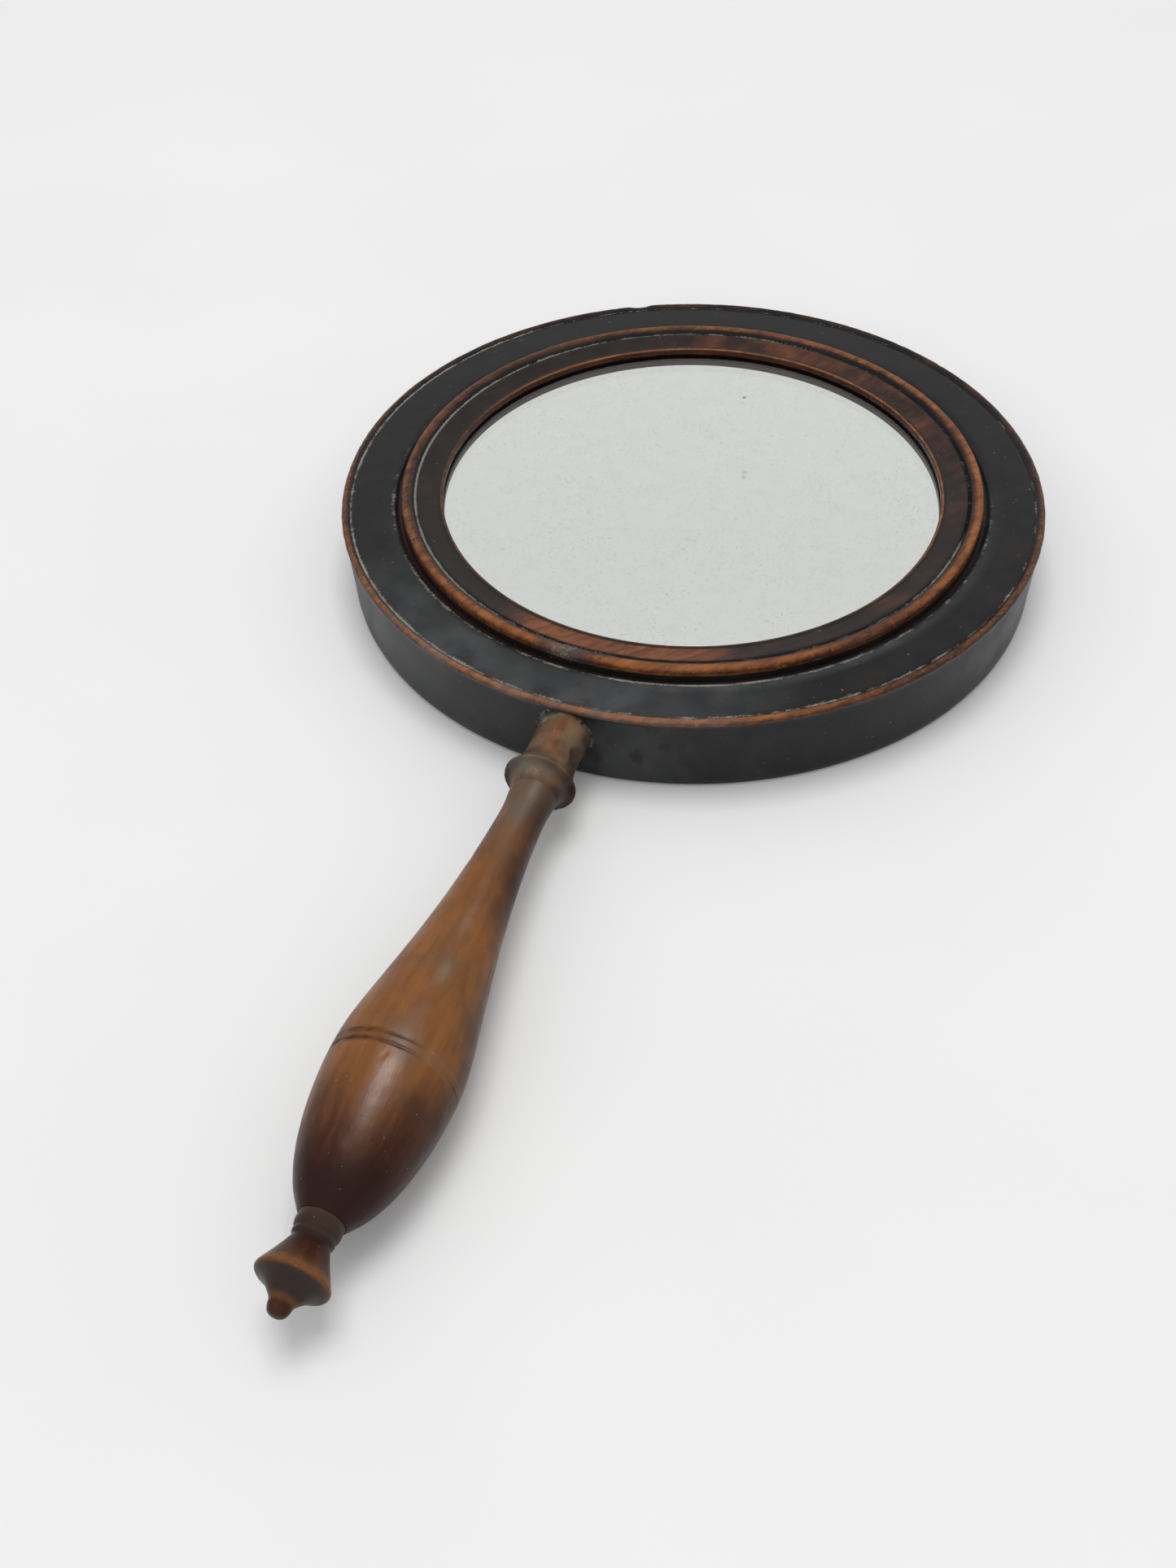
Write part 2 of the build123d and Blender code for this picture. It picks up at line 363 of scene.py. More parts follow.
def turned_wood(name, grain_angle, gloss, bloom):
    """Turned wood with a few grey flecks, whose masks say where it is what.

    bare: from black stain to brown; dark: old dirt and polish, and painted shade on some pieces;
    wear: rubbed through to bright wood; rust: reddened; dust: grey dirt; haze: a dull bloom, of the
    colour bloom.
    """
    s = Shader(name, grain_angle)
    fibres = s.noise((0.35, 14, 0.35), 4.0, 0.6)
    figure = s.noise((1.8, 40, 1.8), 3.0, 0.55, 0.4)
    cloud = s.noise(9.0, 4.0, 0.6)
    speck = s.noise(0.55, 3.0, 0.7)
    grit = s.noise(0.16, 2.0, 0.6)
    streak = s.noise((0.5, 2.6, 0.5), 3.0, 0.65)

    black = s.mix(s.rise(cloud, 0.35, 0.7), srgb(16, 16, 17), srgb(27, 25, 24))
    black = s.mix(s.rise(fibres, 0.55, 0.8, 0.0, 0.5), black, srgb(44, 38, 34))
    brown = s.mix(s.rise(figure, 0.3, 0.7), srgb(105, 65, 35), srgb(119, 76, 39))
    brown = s.mix(s.rise(fibres, 0.48, 0.75, 0.0, 0.22), brown, srgb(80, 50, 30))
    brown = s.mix(s.rise(cloud, 0.48, 0.66, 0.0, 0.65), brown, srgb(90, 65, 42))
    brown = s.mix(s.rise(cloud, 0.48, 0.32, 0.0, 0.4), brown, srgb(126, 78, 38))
    base = s.mix(s.mask("bare"), black, brown)
    # The dark mask darkens towards a deep red-brown: old dirt and polish, and painted shade where a piece's
    # mask holds it.
    dirt_and_shade = s.math("ADD", s.mask("dark"), s.math("MULTIPLY", s.math("SUBTRACT", cloud, 0.5), s.mask("dark")))
    base = s.mix(s.rise(dirt_and_shade, 0.0, 1.0), base, srgb(36, 16, 11))

    bright = s.mix(s.rise(figure, 0.3, 0.72), srgb(106, 61, 28), srgb(142, 88, 40))
    bright = s.mix(s.rise(fibres, 0.5, 0.75, 0.0, 0.55), bright, srgb(92, 52, 30))
    wear = s.ragged(s.mask("wear"), s.mix(0.4, streak, speck), 1.5, 0.2, 0.95)
    colour = s.mix(wear, base, bright)
    rust = s.ragged(s.mask("rust"), s.mix(0.75, fibres, cloud), 1.1, 0.1, 1.1, 0.85)
    colour = s.mix(rust, colour, s.mix(s.rise(figure, 0.35, 0.65), srgb(84, 46, 30), srgb(116, 66, 40)))
    dust = s.ragged(s.mask("dust"), s.mix(0.5, speck, streak), 1.8, 0.3, 0.85, 0.92)
    grey = s.mix(s.rise(grit, 0.4, 0.65), srgb(112, 109, 102), srgb(160, 157, 148))
    colour = s.mix(dust, colour, grey)
    flecks = s.rise(s.noise(0.9, 1.0, 0.5), 0.75, 0.82, 0.0, 0.5)
    colour = s.mix(flecks, colour, srgb(118, 114, 104))
    haze = s.math("MULTIPLY", s.mask("haze"), s.rise(cloud, 0.25, 0.7, 0.5, 1.0))
    colour = s.mix(haze, colour, bloom)
    s.set(Base_Color=colour)

    rough = s.math("ADD", s.rise(cloud, 0.3, 0.7, 0.3, 0.42), s.math("MULTIPLY", dust, 0.35))
    rough = s.math("ADD", rough, s.math("MULTIPLY", s.mask("haze"), 0.2))
    s.set(Roughness=rough, Specular_IOR_Level=gloss)
    lines = s.bump(fibres, 0.05, 0.5)
    dents = s.bump(cloud, 0.5, 0.18, lines)
    s.set(Normal=s.bump(s.math("MULTIPLY", dust, grit), 0.12, 0.8, dents))
    return s.material


def glass_material():
    """Old sheet glass, faintly green and not quite flat."""
    s = Shader("old_glass")
    s.set(Base_Color=(0.98, 0.99, 0.978, 1), IOR=1.52, Transmission_Weight=1.0)
    grime = s.noise(6.0, 5.0, 0.65)
    s.set(Roughness=s.rise(grime, 0.5, 0.8, 0.0, 0.04))
    s.set(Normal=s.bump(s.noise(45.0, 1.0, 0.4), 0.2, 0.1))
    return s.material


def silver_material(marks):
    """Silvering with fine foxing and a few dark marks, each (x, y, size, strength)."""
    s = Shader("silvering_foxed")
    fox = s.noise(0.55, 3.0, 0.7)
    region = s.noise(14.0, 2.0, 0.5)
    amount = s.math("ADD", fox, s.math("MULTIPLY", region, 0.12))
    colour = s.mix(s.rise(s.noise(5.0, 4.0, 0.7), 0.35, 0.7), (0.91, 0.92, 0.9, 1), (0.885, 0.898, 0.878, 1))
    colour = s.mix(s.rise(amount, 0.64, 0.78, 0.0, 0.45), colour, srgb(164, 163, 154))
    for x, y, size, strength in marks:
        away = s.nodes.new("ShaderNodeVectorMath")
        away.operation = "DISTANCE"
        s.links.new(s.place, away.inputs[0])
        away.inputs[1].default_value = (x * MM, y * MM, silver_high[2] * MM)
        reach = s.math("DIVIDE", away.outputs["Value"], size * MM)
        reach = s.math("ADD", reach, s.math("MULTIPLY", s.math("SUBTRACT", fox, 0.5), 2.5))
        colour = s.mix(s.rise(reach, 1.0, 0.4, 0.0, strength), colour, srgb(70, 70, 62))
    s.set(Base_Color=colour, Metallic=1.0, Roughness=s.rise(amount, 0.68, 0.86, 0.01, 0.3))
    return s.material


def filler_material():
    """Hardened glue and filler: grey-brown, crusty, with pale specks."""
    s = Shader("filler_crust")
    lumps = s.noise(1.1, 4.0, 0.6)
    specks = s.noise(0.35, 3.0, 0.7)
    colour = s.mix(s.rise(lumps, 0.35, 0.65), srgb(30, 28, 26), srgb(66, 62, 56))
    colour = s.mix(s.rise(specks, 0.6, 0.72, 0.0, 0.7), colour, srgb(140, 138, 130))
    s.set(Base_Color=colour, Roughness=s.rise(lumps, 0.3, 0.7, 0.8, 0.4))
    s.set(Normal=s.bump(lumps, 0.4, 0.8))
    return s.material


def paint_material():
    """Red-brown backing paint, brushed on and a little chalky."""
    s = Shader("backing_paint_brushed")
    strokes = s.noise((0.6, 30, 30), 3.0, 0.6)
    cloud = s.noise(12.0, 3.0, 0.6)
    colour = s.mix(s.rise(strokes, 0.4, 0.65), srgb(112, 52, 38), srgb(138, 70, 50))
    colour = s.mix(s.rise(cloud, 0.5, 0.8, 0.0, 0.5), colour, srgb(96, 46, 36))
    s.set(Base_Color=colour, Roughness=s.rise(cloud, 0.3, 0.7, 0.6, 0.8))
    s.set(Normal=s.bump(strokes, 0.05, 0.6))
    return s.material


def card_material():
    """Grey-brown strawboard, its fibres both ways."""
    s = Shader("strawboard")
    fibres = s.math("MAXIMUM", s.noise((0.3, 6, 0.3), 4.0, 0.65, 0.6), s.noise((6, 0.3, 0.3), 4.0, 0.65, 0.6))
    colour = s.mix(s.rise(fibres, 0.5, 0.72), srgb(150, 128, 96), srgb(182, 160, 122))
    s.set(Base_Color=colour, Roughness=s.rise(fibres, 0.4, 0.7, 0.95, 0.8))
    s.set(Normal=s.bump(fibres, 0.1, 0.8))
    return s.material


def felt_material():
    """Dark green wool felt, matted."""
    s = Shader("wool_felt")
    nap = s.noise(0.35, 5.0, 0.75, 0.8)
    colour = s.mix(s.rise(nap, 0.35, 0.65), srgb(38, 50, 36), srgb(74, 88, 66))
    colour = s.mix(s.rise(s.noise(8.0), 0.5, 0.8, 0.0, 0.4), colour, srgb(60, 66, 48))
    s.set(Base_Color=colour, Roughness=1.0, Sheen_Weight=0.4)
    s.set(Normal=s.bump(nap, 0.3))
    return s.material


def beech_material():
    """Plain beech, flecked, with brown glue rubbed along it."""
    s = Shader("beech_dowel")
    fibres = s.noise((0.3, 9, 0.3), 4.0, 0.6)
    flecks = s.noise((0.5, 2.2, 0.5), 2.0)
    glue = s.noise(5.0, 3.0, 0.6)
    colour = s.mix(s.rise(fibres, 0.3, 0.7), srgb(176, 134, 92), srgb(206, 168, 124))
    colour = s.mix(s.rise(flecks, 0.6, 0.7, 0.0, 0.7), colour, srgb(134, 90, 56))
    colour = s.mix(s.rise(glue, 0.5, 0.65, 0.0, 0.6), colour, srgb(120, 80, 40))
    s.set(Base_Color=colour, Roughness=s.rise(glue, 0.5, 0.65, 0.6, 0.3))
    s.set(Normal=s.bump(fibres, 0.06, 0.6))
    return s.material


# ---------------------------------------------------------------- head

# Each mark's strength round the head, by angle; the width of the painted shade beside the ring; and the
# nick's own angle.
RIM_WEAR = {0: 0.6, 20: 0.35, 60: 0.2, 120: 0.2, 150: 0.28, 200: 0.5, 240: 0.75, 262: 1.0}
RIM_WEAR |= {298: 1.0, 318: 0.5, 345: 0.45}
RIM_CHIPS = {270: 0.0, 283: 1.0, 315: 0.8, 350: 0.0}
SCORE_DUST = {0: 0.2, 10: 0.45, 20: 0.15, 35: 0.4, 45: 0.15, 120: 0.4, 155: 0.8, 235: 0.85}
SCORE_DUST |= {262: 0.5, 287: 0.6, 345: 0.5}
GROOVE_DUST = {0: 0.3, 17: 0.2, 30: 0.0, 175: 0.0, 190: 0.28, 225: 0.4, 262: 0.5, 290: 0.85}
GROOVE_DUST |= {305: 0.6, 350: 0.3}
GROOVE_HAZE = {0: 0.2, 30: 0.0, 190: 0.1, 250: 0.3, 285: 1.0, 330: 0.8, 350: 0.3}
FLANGE_HAZE = {215: 0.0, 245: 0.8, 275: 1.0, 292: 0.4, 305: 0.0}
WALL_HAZE = {30: 0.3, 180: 0.7, 240: 0.6, 262: 0.3, 269: 0.7, 279: 0.7, 288: 0.2, 310: 0.0, 359: 0.2}
GAP_SHADE_WIDTH = {0: 0.3, 60: 0.7, 255: 0.7, 290: 0.3}
NICK_ANGLE = 115.8

HEAD_OUTLINE = [(0.0, CENTRE_R, "sharp")]
for line_r in BACK_LINES:
    HEAD_OUTLINE += [(0.0, line_r - 0.3, "sharp"), (0.3, line_r), (0.0, line_r + 0.3, "sharp")]
HEAD_OUTLINE += [
    (0.0, BACK_R - 1.9),
    (0.07, BACK_R - 1.0),
    (0.4, BACK_R - 0.35),
    (1.3, BACK_R),
    (6.0, BACK_R + 0.25),
    (12.0, BACK_R + 0.6),
    (16.6, BACK_R + 0.85),
    (17.3, BACK_R + 0.92),
    (17.9, HEAD_R - 0.08),
    (18.3, HEAD_R),
    (18.85, HEAD_R - 0.25),
    (HEAD_TOP, HEAD_R - 1.0),
    (HEAD_TOP - 0.1, HEAD_R - 1.4),
    (FLANGE + 0.03, HEAD_R - 1.8),
    (FLANGE - 0.16, HEAD_R - 2.1),
    (FLANGE - 0.02, HEAD_R - 2.4, "sharp"),
    (FLANGE, HEAD_R - 5.0),
    (FLANGE, RECESS_R + 3.2),
    (FLANGE - 0.08, RECESS_R + 2.2),
    (FLANGE - 0.35, RECESS_R + 1.4),
    (FLANGE - 0.9, RECESS_R + 0.8),
    (FLANGE - 1.0, RECESS_R, "sharp"),
    (RECESS_FLOOR, RECESS_R, "sharp"),
    (RECESS_FLOOR, CENTRE_R),
]


def head_pitch(height, radius):
    """Close rows on the bead and in the grooves, wide ones where it is plain."""
    if radius < RECESS_R - 1:
        return 0.2 if height < 1 and BACK_LINES[0] - 0.4 < radius < BACK_LINES[1] + 0.4 else 15.0
    if height > 17 and radius > HEAD_R - 2.6:
        return 0.2
    if height > 17 and radius < RECESS_R + 3:
        return 0.3
    return 0.85


def make_head(material):
    """The thick disc: worn bead, scored line, dusty groove, a hazy flange and wall, and painted shade on the
    flange beside the ring.
    """
    t = Turning(smooth_rows(HEAD_OUTLINE, head_pitch), HEAD_TURNS)
    at = t.points()
    az, radius, height = t.angle, t.radius, t.along
    top = step(height, FLANGE - 1.2, FLANGE - 0.8) * step(radius, RECESS_R - 0.5, RECESS_R)
    bead = step(radius, HEAD_R - 2.0, HEAD_R - 1.5) * step(height, 16.7, 17.6)
    wall = step(radius, BACK_R - 1.0, BACK_R) * step(height, 17.4, 16.8) * step(height, 0.2, 1.0)
    fine, broad = noise(at, 2.0, 11), noise(at, 9.0, 12)

    crest = hump(radius, HEAD_R - 0.75, 1.45) * step(height, 17.1, 18.3)
    wear = bead * crest * around(az, RIM_WEAR) * (1 + 0.25 * fine)
    wear = wear + 0.35 * top * hump(radius, HEAD_R - 3.0, 1.2) * round_hump(az, 271, 12)
    chips = bead * step(noise(at, (0.7, 1.5, 1.0), 18), 0.42, 0.7) * around(az, RIM_CHIPS)
    wear = wear + 0.8 * chips
    rust = 0.32 * wall * round_hump(az, 249, 8) * (1 + broad)
    rust = rust + 0.6 * top * round_hump(az, 141, 1.5) * hump(radius, 75.5, 1.5)
    rust = rust + 0.35 * bead + 0.3 * top * hump(radius, RECESS_R + 4, 2) * round_hump(az, 285, 14)

    score = hump(radius, SCORE_R, 0.5) * top
    dust = score * (around(az, SCORE_DUST) + 0.4 * noise(at, 3.0, 13))
    groove = hump(radius, RECESS_R + 1.85, 1.2) * top
    dust = dust + groove * (around(az, GROOVE_DUST) + 0.4 * noise(at, 4.0, 14))
    dust = dust + 0.25 * wall * step(height, 2.0, 0.6)

    haze = 0.5 * top * around(az, FLANGE_HAZE) * (0.8 + 0.6 * broad)
    haze = haze * step(radius, RECESS_R + 2, RECESS_R + 5)
    settled = around(az, GROOVE_HAZE) * (1 + 0.5 * broad)
    haze = haze + 0.4 * top * hump(radius, RECESS_R + 2.4, 2.4) * settled
    blotch = step(noise(at, (3, 3, 4), 15), 0.0, 0.4) * round_hump(az, 275, 22)
    haze = haze + 0.3 * wall * around(az, WALL_HAZE) * (1 + 0.4 * broad) * (1 - 0.9 * blotch)
    # Painted shade: the flange turns near black in a band just outside the ring, its width set round the head
    # by angle; the wall's blotch is real dirt.
    gap = RECESS_R + around(az, GAP_SHADE_WIDTH)
    dark = 0.4 * wall * blotch + 1.2 * top * step(radius, gap + 0.5, gap)
    masks = {"wear": wear, "rust": rust, "dust": dust, "haze": haze, "dark": dark, "bare": 0.0}

    sink = 0.05 * bead * (1 + fine) + 0.1 * bead * step(noise(at, 1.6, 16), 0.45, 0.9)
    nick = bead * round_hump(az, NICK_ANGLE, 2.3) * hump(radius, HEAD_R - 0.3, 1.6)
    sink = sink + 0.12 * chips + 0.75 * nick
    sink = sink + 0.03 * wall * (1 + broad) + 0.02 * top * (1 + broad)
    sink = sink + 0.07 * groove * (1 + noise(at, 2.5, 17)) + 0.05 * score
    make_piece("head_turned", t.points(sink), material, ["head_frame"], masks)


# ---------------------------------------------------------------- ring

# Each mark's strength round the ring, by angle, and the angles of two marks that are in one place.
BEAD_WEAR = {0: 0.85, 60: 0.75, 100: 0.6, 160: 0.42, 200: 0.5, 235: 0.8, 253: 0.95, 259: 0.35}
BEAD_WEAR |= {267: 0.4, 273: 1.2, 298: 0.95, 318: 0.5, 345: 0.85}
BEAD_CHIPS = {265: 0.0, 278: 1.0, 325: 0.8, 350: 0.0}
SLOPE_WEAR = {0: 0.05, 120: 0.0, 240: 0.0, 256: 0.55, 283: 0.55, 296: 0.05}
SLOPE_RUST = {0: 0.2, 35: 0.45, 60: 0.6, 100: 0.6, 120: 0.15, 242: 0.1, 256: 1.0, 285: 1.0, 298: 0.25}
LIP_WEAR = {0: 0.9, 60: 1.0, 150: 0.9, 170: 0.5, 250: 0.5, 290: 0.5, 310: 0.3}
QUIRK_DUST = {0: 0.35, 40: 0.2, 75: 0.5, 130: 0.75, 150: 0.9, 235: 0.9, 262: 0.55, 300: 0.3}
QUIRK_DUST |= {335: 0.4, 345: 0.8}
SMEAR_ANGLE = 263
LIP_CHIP_ANGLE = 42.1

RING_OUTLINE = [
    (19.1, SIGHT_R, "sharp"),
    (GLASS_TOP, SIGHT_R, "sharp"),
    (GLASS_TOP, GLASS_R + 0.4, "sharp"),
    (RING_FOOT, GLASS_R + 0.4, "sharp"),
    (RING_FOOT, RING_R, "sharp"),
    (19.0, RING_R),
    (20.1, RING_R, "sharp"),
    (20.6, RING_R - 0.22),
    (20.93, RING_R - 0.75),
    (RING_TOP, RING_R - 1.25),
    (20.85, RING_R - 2.0),
    (20.45, RING_R - 2.65),
    (19.95, RING_R - 3.0),
    (19.7, QUIRK_R),
    (20.0, RING_R - 3.5),
    (20.08, RING_R - 3.9),
    (19.65, SIGHT_R + 3.4),
    (19.3, SIGHT_R + 1.1),
    (19.33, SIGHT_R + 0.5),
    (19.1, SIGHT_R),
]


def ring_pitch(height, radius):
    """Close rows where the ring shows, wide ones where the head and the glass hide it."""
    if height < GLASS_TOP - 0.1 or (height < GLASS_TOP + 0.1 and radius > SIGHT_R + 0.1):
        return 2.5
    if radius < SIGHT_R + 0.1:
        return 0.12
    return 0.2 if radius > RING_R - 4.25 else 0.3


def make_ring(material):
    """The ring round the glass: worn bead, dusty quirk, a dark slope and a thin worn lip."""
    t = Turning(smooth_rows(RING_OUTLINE, ring_pitch)[:-1], HEAD_TURNS)
    at = t.points()
    az, radius, height = t.angle, t.radius, t.along
    up = step(height, 19.0, 19.25)
    bead = up * step(radius, RING_R - 2.9, RING_R - 2.1)
    quirk = up * hump(radius, QUIRK_R + 0.03, 0.5)
    slope = up * step(radius, SIGHT_R + 0.8, SIGHT_R + 1.4) * step(radius, QUIRK_R - 0.2, QUIRK_R - 0.8)
    lip = up * hump(radius, SIGHT_R + 0.35, 0.5)
    wall = step(radius, SIGHT_R + 0.4, SIGHT_R) * step(height, 19.3, 19.0)
    fine, broad = noise(at, 1.6, 21), noise(at, 8.0, 22)

    crest = hump(radius, RING_R - 0.9 - 0.6 * round_hump(az, 90, 100), 1.8)
    wear = bead * crest * around(az, BEAD_WEAR) * (1.05 + 0.3 * fine)
    chips = bead * step(noise(at, (0.6, 1.4, 0.9), 28), 0.42, 0.7) * around(az, BEAD_CHIPS)
    wear = wear + 0.6 * chips
    wear = wear + slope * around(az, SLOPE_WEAR) + lip * around(az, LIP_WEAR)
    patches = step(noise(at, 6.0, 27), -0.6, 0.6)
    rust = slope * around(az, SLOPE_RUST) * (0.55 + 0.55 * patches)
    rust = rust + 0.5 * bead + 0.5 * wall + 0.5 * lip

    dust = quirk * (around(az, QUIRK_DUST) + 0.35 * noise(at, 4.0, 23))
    smear = bead * round_hump(az, SMEAR_ANGLE, 7)
    dust = dust + 0.45 * smear
    dust = dust + 0.3 * slope * hump(radius, QUIRK_R - 0.6, 1.0) * round_hump(az, 100, 30)
    masks = {"wear": wear, "rust": rust, "dust": dust, "haze": 0.3 * smear, "dark": 0.5 * wall}
    masks["bare"] = 0.03 * slope

    sink = 0.04 * bead * (1 + fine) + 0.08 * bead * step(noise(at, 1.4, 24), 0.45, 0.9) + 0.12 * chips
    sink = sink + 0.02 * slope * (1 + broad)
    sink = sink + 0.1 * quirk * (1 + noise(at, 3.0, 25))
    scratches = step(np.abs(noise(at, (1.1, 7, 7), 26, 1)), 0.12, 0.0)
    sink = sink + 0.08 * slope * scratches * round_hump(az, 57, 18)
    sink = sink + 0.35 * lip * round_hump(az, LIP_CHIP_ANGLE, 1.4)
    make_piece("ring_turned", t.points(sink), material, ["bezel_ring"], masks, closed=True)


# ---------------------------------------------------------------- handle

NECK_OUTLINE = [
    (74.5, 5.6),
    (79.0, 5.62),
    (83.0, 5.48),
    (87.5, 5.4),
    (91.0, 5.8),
    (93.4, 6.72),
    (94.25, 7.36),
    (LIP_AT, 7.5),
    (94.85, 7.3),
    (95.1, 6.55),
    (95.6, 5.9),
    (96.8, 5.3),
    (GRIP_START, 4.9),
]

GRIP_OUTLINE = [(GRIP_START, 4.9), (104, 4.5), (112, 4.85), (120.4, 5.5), (128.5, 6.35), (136.5, 7.4)]
GRIP_OUTLINE += [(144, 8.6), (151, 9.8), (160, 11.35), (BELLY_AT - 3, 11.85)]
for share in (0.0, 0.15, 0.3, 0.45, 0.6, 0.72, 0.82, 0.9):
    GRIP_OUTLINE.append((BELLY_AT + share * BELLY_HALF, BELLY_R * math.sqrt(1 - share**2)))
GRIP_OUTLINE += [(GRIP_END, 4.3)]

FINIAL_OUTLINE = [
    (GRIP_END, 4.1),
    (GRIP_END + 0.35, 4.0),
    (GRIP_END + 1.3, 4.1),
    (GRIP_END + 2.2, 3.95),
    (GRIP_END + 2.6, 3.65, "sharp"),
    (GRIP_END + 3.4, 3.75),
    (GRIP_END + 4.2, 3.45),
    (RIM_AT - 5.7, 3.8),
    (RIM_AT - 3.6, 4.75),
    (RIM_AT - 0.9, 6.15),
    (RIM_AT - 0.3, 6.43),
    (RIM_AT, 6.5),
    (RIM_AT + 0.35, 6.35),
    (RIM_AT + 0.6, 6.0),
    (RIM_AT + 1.1, 4.95),
    (RIM_AT + 2.0, 3.8),
    (RIM_AT + 3.9, 2.2),
    (RIM_AT + 4.9, 1.98),
    (RIM_AT + 5.8, 1.6),
    (TIP - 0.15, 0.95),
    (TIP, 0.2),
]


def make_neck(material):
    """The neck and its flared collar, dirty in the hollows, rubbed along the lip, and with painted shade down
    its right side.
    """
    t = Turning(smooth_rows(NECK_OUTLINE, even(0.18)), HANDLE_TURNS, handle=True)
    at = t.points()
    along, turn = t.along, t.angle
    fine, broad = noise(at, 1.3, 31), noise(at, 4.0, 32)
    lip = hump(along, LIP_AT, 0.8)
    collar = hump(along, 95.0, 5.0)
    patches = step(noise(at, (2.2, 3.5, 2.2), 33), -0.1, 0.5)
    wear = 0.4 * round_hump(turn, 84, 30) * hump(along, 86.5, 7) * (1 + 1.3 * broad)
    wear = wear + 1.2 * hump(along, LIP_AT - 0.6, 0.45) * (0.8 + 0.4 * fine)
    rust = 0.3 * round_hump(turn, 90, 60) * step(along, 93, 89) * (1 + broad)
    dust = 0.5 * round_hump(turn, 130, 30) * hump(along, 81.5, 4)
    dust = dust + 0.45 * hump(along, 96.6, 2.2) * round_hump(turn, 95, 60)
    haze = 0.24 + 0.62 * collar * round_hump(turn, 100, 80) + 0.35 * broad - 0.2 * round_hump(turn, 84, 30)
    haze = haze + 0.75 * hump(along, 79.5, 3.5) * round_hump(turn, 110, 60)
    haze = haze * (1 - hump(along, LIP_AT - 0.7, 0.8))
    bare = 0.62 - 0.25 * collar + 0.3 * broad
    dark = 0.6 * patches * (1 - round_hump(turn, 80, 40)) + 0.4 * hump(along, 97.8, 1.5)
    dark = dark + 0.7 * hump(along, 95.3, 0.7) + 0.5 * round_hump(turn, 150, 40) * step(along, 90, 84)
    # Painted shade: the neck darkens down its right side.
    dark = dark + 0.9 * round_hump(turn, 0, 60)
    masks = {"wear": wear, "rust": rust, "dust": dust, "haze": haze, "dark": dark, "bare": bare}
    sink = 0.04 * (1 + fine) + 0.08 * lip * step(fine, 0.3, 0.8)
    make_piece("neck_turned", t.points(sink), material, ["neck_collar"], masks)


def grip_pitch(along, radius):
    """Close rows at the two scored lines."""
    return 0.12 if abs(along - sum(LINES_AT) / 2) < 2.2 else 0.5


def make_grip(material):
    """The baluster grip, dull by the collar, darker past its two scored lines, and with painted shade down
    its right side.
    """
    t = Turning(smooth_rows(GRIP_OUTLINE, grip_pitch), HANDLE_TURNS, handle=True)
    at = t.points()
    along, turn = t.along, t.angle
    fine, broad = noise(at, 1.6, 41), noise(at, (7, 22, 7), 42)
    lines = sum(step(np.abs(along - line), 0.4, 0.1) for line in LINES_AT)

    top = step(along, 122, 101)
    bare = (1 - 0.55 * top) * (1 + 0.15 * broad)
    wear = 0.1 * round_hump(turn, 85, 50) * hump(along, 124, 14)
    wear = wear + 0.55 * round_hump(turn, 125, 24) * hump(along, 107, 9) * (1 + 0.8 * broad)
    wear = wear + 0.5 * round_hump(turn, 122, 14) * hump(along, 172, 5)
    wear = wear + 0.3 * round_hump(turn, 52, 12) * hump(along, 181, 6)
    smears = round_hump(turn, 74, 12) * hump(along, 137, 7) + round_hump(turn, 71, 11) * hump(along, 151.5, 6)
    smears = smears + 0.4 * round_hump(turn, 72, 8) * hump(along, 161.5, 3)
    smudge = sum(step(np.abs(along - line), 0.95, 0.15) for line in LINES_AT)
    band = step(along, LINES_AT[0] - 0.8, LINES_AT[0]) * step(along, LINES_AT[1] + 0.8, LINES_AT[1])
    dust = 0.25 * smears + 0.3 * smudge * round_hump(turn, 46, 30)
    haze = 0.8 * top * (0.7 + 0.8 * broad) * (0.5 + 0.5 * round_hump(turn, 60, 80))
    haze = haze + 0.65 * smears * (0.7 + 0.6 * fine) + 0.25 * band * round_hump(turn, 46, 30)
    stained = around(turn, {50: 0.0, 75: 1.0, 140: 1.0, 200: 0.5, 300: 0.4, 350: 0.0})
    dark = step(along, 164, 201) * (1.25 + 0.2 * broad) + 0.32 * smudge * stained * (1 + fine)
    # The band term on the next line is dirt by the scored lines; its round_hump term is painted shade, darker
    # down the grip's right side.
    dark = dark + 0.3 * band * stained * (1 + broad) + 0.45 * round_hump(turn, 0, 75)
    dark = dark + 0.2 * step(broad, 0.0, 0.7) + 0.25 * top + 0.3 * hump(along, 122, 20)
    rust = 0.4 * hump(along, 184, 14)
    masks = {"wear": wear, "rust": rust, "dust": dust, "haze": haze, "dark": dark, "bare": bare}

    sink = 0.05 * (1 + noise(at, (6, 30, 6), 43)) + 0.02 * (1 + fine)
    sink = sink + 0.1 * lines * (1 + 0.3 * fine)
    sink = sink + 0.06 * step(noise(at, (2.0, 3.5, 2.0), 44), 0.55, 0.9)
    make_piece("grip_turned", t.points(sink), material, ["handle_grip"], masks)


